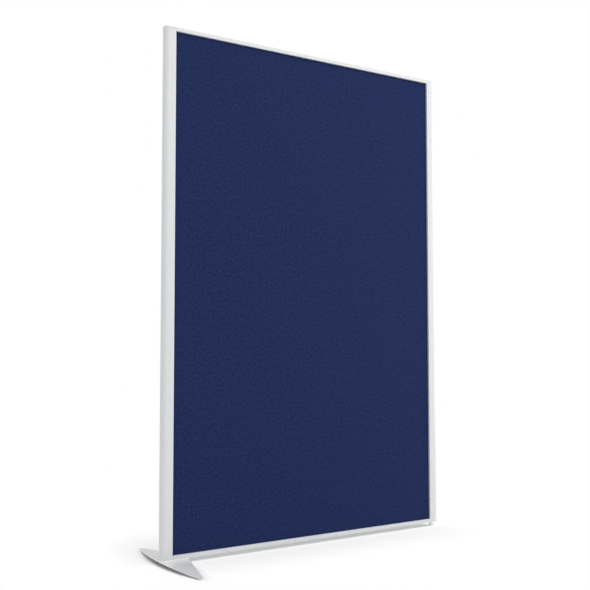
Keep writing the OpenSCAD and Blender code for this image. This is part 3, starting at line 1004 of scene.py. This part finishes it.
def seen_directly(tree):
    """1 for rays from the camera and for mirrored and refracted ones, else 0."""
    path = place_node(tree, "LightPath").outputs
    mirrored = sum_of(tree, "MAXIMUM", path["Is Glossy Ray"], path["Is Transmission Ray"])
    return sum_of(tree, "MAXIMUM", path["Is Camera Ray"], mirrored)


def shining(tree, strength):
    """White light of the floor's own."""
    inputs = {"Color": (1, 1, 1, 1), "Strength": strength}
    return place_node(tree, "Emission", inputs).outputs[0]


# Near the screen the floor is its lit paint, with the screen's shadow, and far from it plain
# white to whoever looks at it
floor_lift = 0.01
shown = seen_directly(tree)
lift = shining(tree, sum_of(tree, "MULTIPLY", shown, floor_lift))
near_floor = place_node(tree, "AddShader", {0: paint, 1: lift}).outputs[0]
plain_white = shining(tree, 1.0)
far_floor = place_node(tree, "MixShader", {0: shown, 1: paint, 2: plain_white}).outputs[0]


def distance_to_line(tree, start, end, along, across):
    """Distance on the floor from a line that runs from start to end: the root of the squares
    of what lies beyond the line's ends and of what lies across."""
    inside = sum_of(tree, "MAXIMUM", sum_of(tree, "MINIMUM", along, end), start)
    beyond = sum_of(tree, "SUBTRACT", along, inside)
    squares = sum_of(tree, "MULTIPLY_ADD", beyond, beyond, sum_of(tree, "MULTIPLY", across, across))
    return sum_of(tree, "SQRT", squares)


def faded(tree, distance, steps):
    """Share that rises with distance along a soft line through steps (distance, share)."""
    reach = steps[-1][0]
    ramp = place_node(tree, "ValToRGB", {0: sum_of(tree, "DIVIDE", distance, reach)})
    for k, (far, share) in enumerate(steps):
        stop = ramp.color_ramp.elements[k] if k < 2 else ramp.color_ramp.elements.new(1.0)
        stop.position = far / reach
        stop.color = (share, share, share, 1)
    return ramp.outputs[0]


# The screen's shadow reaches twice as far behind it as in front
screen_fade = [(0.0, 0.0), (0.015, 0.0), (0.022, 0.4), (0.25, 1.0)]
base_low, base_high = -0.47, 0.55
behind_share = 0.5
behind = sum_of(tree, "MULTIPLY", across, behind_share)
in_front = sum_of(tree, "MULTIPLY", across, -1.0)
beside = sum_of(tree, "MAXIMUM", behind, in_front)
from_line = distance_to_line(tree, base_low, base_high, along, beside)
screen_share = faded(tree, from_line, screen_fade)

# The foot's shadow starts from a lens: half its width is the tip's and that of a belly, which
# falls off with the square of the distance from the middle
foot_fade = [(0.0, 0.0), (0.004, 0.25), (0.014, 0.65), (0.03, 0.88), (0.07, 1.0)]
foot_middle, foot_reach = -0.553, 0.222
foot_tip, foot_belly = 0.012, 0.04
beside = sum_of(tree, "SUBTRACT", along, foot_middle)
from_line = distance_to_line(tree, -foot_reach, foot_reach, across, beside)
share = sum_of(tree, "MULTIPLY", across, 1 / foot_reach)
square_less = sum_of(tree, "MULTIPLY_ADD", sum_of(tree, "MULTIPLY", share, -1.0), share, 1.0)
belly = sum_of(tree, "MAXIMUM", square_less, 0.0)
half_width = sum_of(tree, "MULTIPLY_ADD", belly, foot_belly, foot_tip)
foot_share = faded(tree, sum_of(tree, "SUBTRACT", from_line, half_width), foot_fade)

fade = sum_of(tree, "MINIMUM", screen_share, foot_share)
both = place_node(tree, "MixShader", {0: fade, 1: near_floor, 2: far_floor})
place_node(tree, "OutputMaterial", {"Surface": both.outputs[0]})
floor_mesh.materials.append(floor_finish)

room_light = 0.5
world = bpy.data.worlds.new("studio")
world.use_nodes = True
bpy.context.scene.world = world
tree = world.node_tree
background = tree.nodes["Background"]
background.inputs["Color"].default_value = (1, 1, 1, 1)
strength = between(tree, seen_directly(tree), room_light, 1.0)
tree.links.new(strength, background.inputs["Strength"])

screen_middle = Vector((0, 0, 0.9))


def soft_light(name, place, size, power, mirrored=True):
    """Square soft light at place, turned to the screen. One that isn't mirrored lights matt
    surfaces alone, as a wide sheet of diffuser does."""
    lamp = bpy.data.lights.new(name, "AREA")
    lamp.size = size
    lamp.energy = power
    holder = new_object(name, lamp)
    holder.location = place
    holder.visible_glossy = mirrored
    holder.rotation_euler = (screen_middle - Vector(place)).to_track_quat("-Z", "Y").to_euler()


soft_light("key", (3.4, -3.6, 5.0), size=3.0, power=160, mirrored=False)
soft_light("overhead", (1.4, -3.8, 8.0), size=3.6, power=150)
soft_light("fill", (-4.5, -3.4, 3.4), size=3.4, power=62, mirrored=False)
soft_light("side reflector", (5.0, -1.4, 1.2), size=4.2, power=72)
soft_light("back", (-2.5, 6.0, 3.0), size=4.5, power=150, mirrored=False)

bpy.context.scene.view_settings.view_transform = "Standard"
